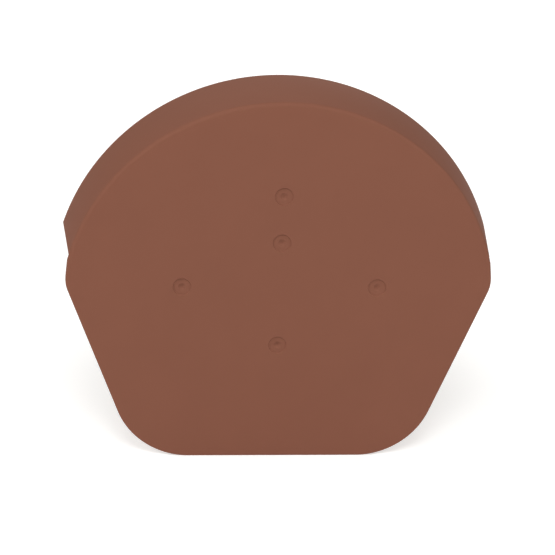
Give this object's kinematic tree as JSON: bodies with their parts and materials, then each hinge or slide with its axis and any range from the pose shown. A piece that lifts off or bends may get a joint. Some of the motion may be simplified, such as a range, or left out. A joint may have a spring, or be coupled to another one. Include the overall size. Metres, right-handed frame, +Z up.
{
  "type": "half round ridge end cap",
  "caption": "Moulded end cap for a half round roof ridge: a flat front plate with a tapering apron and a flared rim that goes over the end of the ridge tile.",
  "frame": {"origin": "on the ridge's axis, in the plane of the plate's back face, where the ridge tile's end stops", "axes": "+Y runs along the ridge, away from the cap's face; +Z is up; +X is to the right for someone who looks at the face"},
  "size_m": [0.2544, 0.041, 0.228],
  "materials": {
    "brown_plastic": "red-brown, coloured through, with a fine matte moulded grain"
  },
  "bodies": {
    "root": {"ridge_cap": "brown_plastic"}
  },
  "joints": []
}
